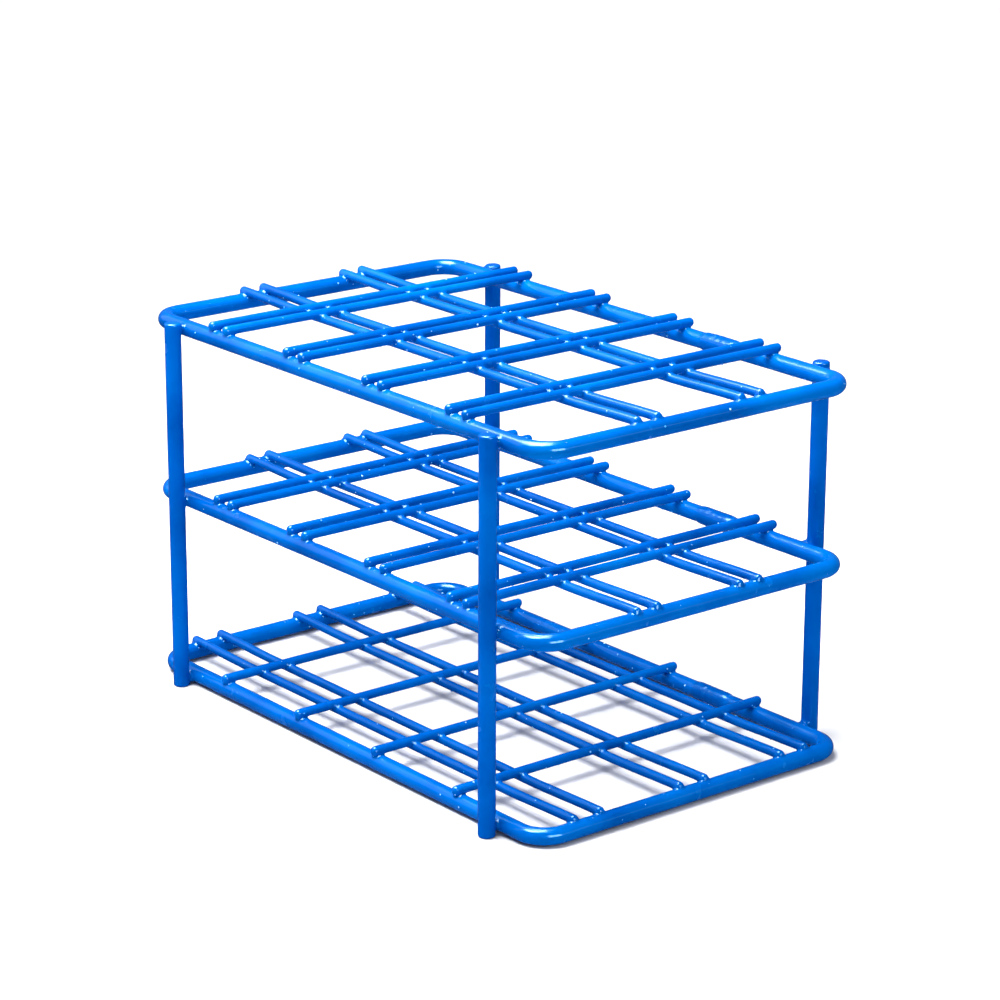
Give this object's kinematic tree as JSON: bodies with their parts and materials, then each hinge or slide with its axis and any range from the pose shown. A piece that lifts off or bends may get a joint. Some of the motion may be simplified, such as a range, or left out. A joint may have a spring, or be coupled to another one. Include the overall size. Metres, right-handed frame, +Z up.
{
  "type": "test tube rack",
  "caption": "Open wire rack with three tiers on four legs that holds test tubes upright in a grid of square places.",
  "frame": {"origin": "on the surface that the legs stand on, under the middle of the rack", "axes": "+X along the rack's long side, +Y across it, +Z up"},
  "size_m": [0.1872, 0.1258, 0.1169],
  "materials": {
    "frame_ring_coating": "thick glossy blue epoxy dip coating over bent and welded steel wire",
    "cross_wire_coating": "glossy blue epoxy dip coating over steel wire, with small runs at the welds",
    "lengthwise_wire_coating": "glossy blue epoxy dip coating over steel wire, with small runs at the welds",
    "leg_coating": "thick glossy blue epoxy dip coating over straight steel rod"
  },
  "bodies": {
    "root": {"top_frame_ring": "frame_ring_coating", "top_cross_wire_1": "cross_wire_coating", "top_cross_wire_2": "cross_wire_coating", "top_cross_wire_3": "cross_wire_coating", "top_cross_wire_4": "cross_wire_coating", "top_cross_wire_5": "cross_wire_coating", "top_cross_wire_6": "cross_wire_coating", "top_cross_wire_7": "cross_wire_coating", "top_cross_wire_8": "cross_wire_coating", "top_lengthwise_wire_1": "lengthwise_wire_coating", "top_lengthwise_wire_2": "lengthwise_wire_coating", "top_lengthwise_wire_3": "lengthwise_wire_coating", "top_lengthwise_wire_4": "lengthwise_wire_coating", "middle_frame_ring": "frame_ring_coating", "middle_cross_wire_1": "cross_wire_coating", "middle_cross_wire_2": "cross_wire_coating", "middle_cross_wire_3": "cross_wire_coating", "middle_cross_wire_4": "cross_wire_coating", "middle_cross_wire_5": "cross_wire_coating", "middle_cross_wire_6": "cross_wire_coating", "middle_cross_wire_7": "cross_wire_coating", "middle_cross_wire_8": "cross_wire_coating", "middle_lengthwise_wire_1": "lengthwise_wire_coating", "middle_lengthwise_wire_2": "lengthwise_wire_coating", "middle_lengthwise_wire_3": "lengthwise_wire_coating", "middle_lengthwise_wire_4": "lengthwise_wire_coating", "bottom_frame_ring": "frame_ring_coating", "bottom_cross_wire_1": "cross_wire_coating", "bottom_cross_wire_2": "cross_wire_coating", "bottom_cross_wire_3": "cross_wire_coating", "bottom_cross_wire_4": "cross_wire_coating", "bottom_lengthwise_wire_1": "lengthwise_wire_coating", "bottom_lengthwise_wire_2": "lengthwise_wire_coating", "bottom_lengthwise_wire_3": "lengthwise_wire_coating", "bottom_lengthwise_wire_4": "lengthwise_wire_coating", "bottom_lengthwise_wire_5": "lengthwise_wire_coating", "bottom_lengthwise_wire_6": "lengthwise_wire_coating", "left_front_leg": "leg_coating", "right_front_leg": "leg_coating", "right_back_leg": "leg_coating", "left_back_leg": "leg_coating"}
  },
  "joints": []
}
